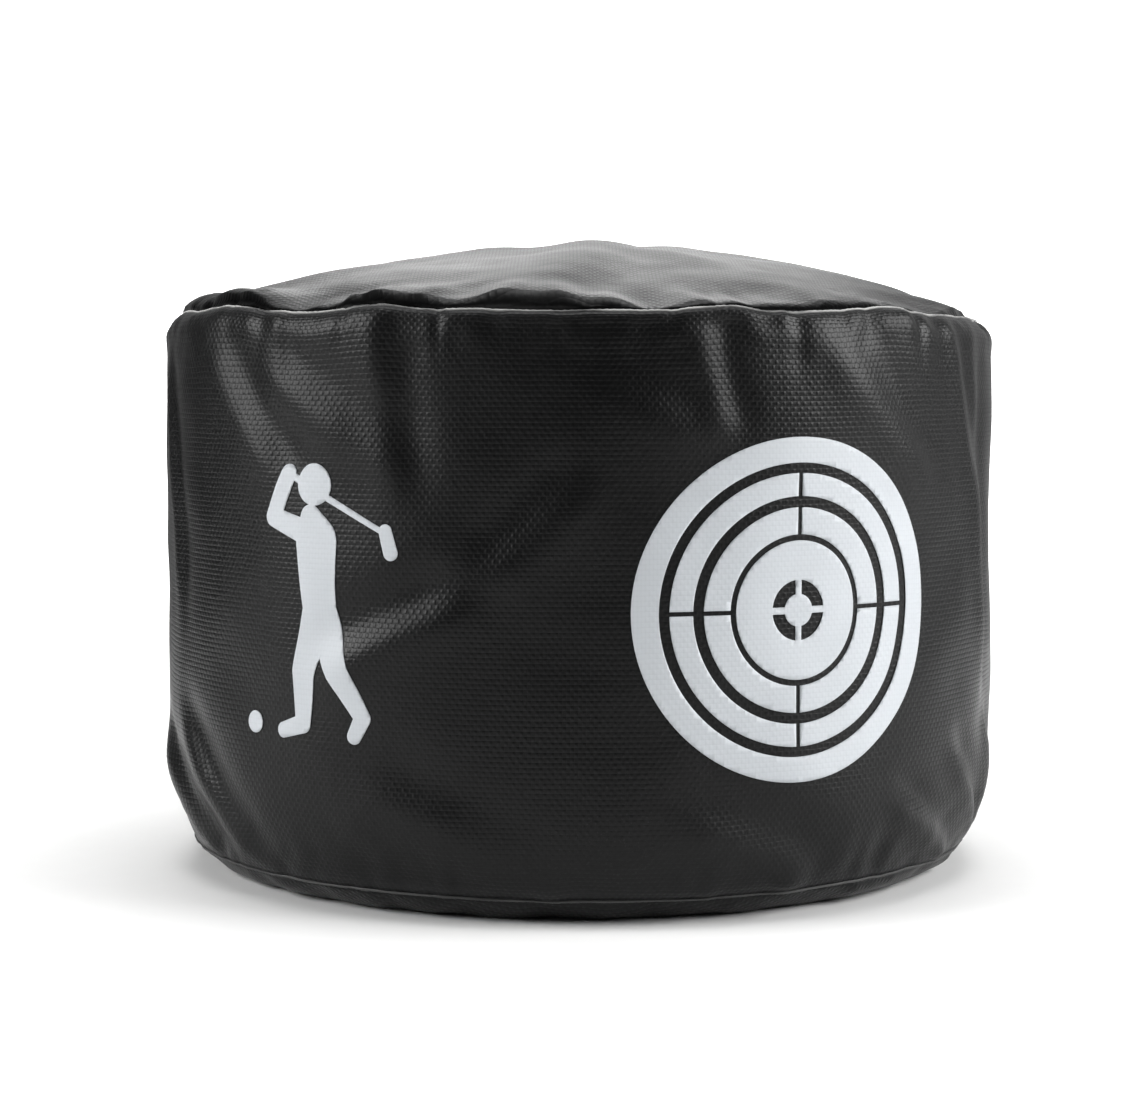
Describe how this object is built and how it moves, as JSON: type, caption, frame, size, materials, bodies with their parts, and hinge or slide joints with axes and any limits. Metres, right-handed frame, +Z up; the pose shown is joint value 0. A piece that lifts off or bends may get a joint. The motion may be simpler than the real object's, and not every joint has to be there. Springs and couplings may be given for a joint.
{
  "type": "golf impact bag",
  "caption": "Round padded golf impact bag that stands on a floor: sewn coated-mesh drum with a white ring target and golfer print, packed with towels through a zip at the back.",
  "frame": {"origin": "centre of the flat face the bag rests on", "axes": "+Z up, -Y out of the printed front, +Y out of the back with the zip"},
  "size_m": [0.44, 0.4406, 0.324],
  "materials": {
    "coated_mesh": "black coated polyester mesh cloth, satin",
    "welt": "black coated cloth folded over a thin cord, satin",
    "thread": "black bonded polyester thread",
    "zip_tape": "black woven polyester tape",
    "zip_teeth": "black moulded acetal",
    "zip_metal": "black enamelled zinc",
    "white_print": "white screen-printed ink film",
    "towel": "off-white terry cotton"
  },
  "bodies": {
    "bag": {"wall_front_panel": "coated_mesh", "wall_rear_lower_panel": "coated_mesh", "wall_rear_upper_strip": "coated_mesh", "top_panel": "coated_mesh", "base_panel": "coated_mesh", "top_seam_welt": "welt", "base_seam_welt": "welt", "top_seam_thread": "thread", "base_seam_thread": "thread", "rear_seam_right_lap": "coated_mesh", "rear_seam_left_lap": "coated_mesh", "rear_seam_right_thread": "thread", "rear_seam_left_thread": "thread", "zip_lower_tape": "zip_tape", "zip_upper_tape": "zip_tape", "zip_lower_thread": "thread", "zip_upper_thread": "thread", "zip_lower_teeth": "zip_teeth", "zip_upper_teeth": "zip_teeth", "zip_closed_end_stops": "zip_teeth", "zip_open_end_stop": "zip_teeth", "zip_right_end_patch": "coated_mesh", "zip_left_end_patch": "coated_mesh", "target_print": "white_print", "golfer_print": "white_print", "filling_base_towel": "towel", "filling_crown_towel": "towel", "filling_roll_1": "towel", "filling_roll_2": "towel", "filling_roll_3": "towel", "filling_roll_4": "towel", "filling_roll_5": "towel", "filling_roll_6": "towel", "filling_roll_7": "towel"},
    "zip_slider": {"zip_slider_body": "zip_metal"},
    "zip_pull": {"zip_pull_tab": "zip_metal"}
  },
  "joints": [
    {"name": "zip_travel", "type": "hinge", "parent": "bag", "child": "zip_slider", "pos_m": [0, 0, 0.246], "axis": [0, 0, 1], "range_deg": [0, 93], "deforming": ["zip_lower_teeth", "zip_upper_teeth"]},
    {"name": "pull_swing", "type": "hinge", "parent": "zip_slider", "child": "zip_pull", "pos_m": [0.16277, 0.15447, 0.246], "axis": [0.6884, -0.7254, 0], "range_deg": [0, 165]}
  ]
}
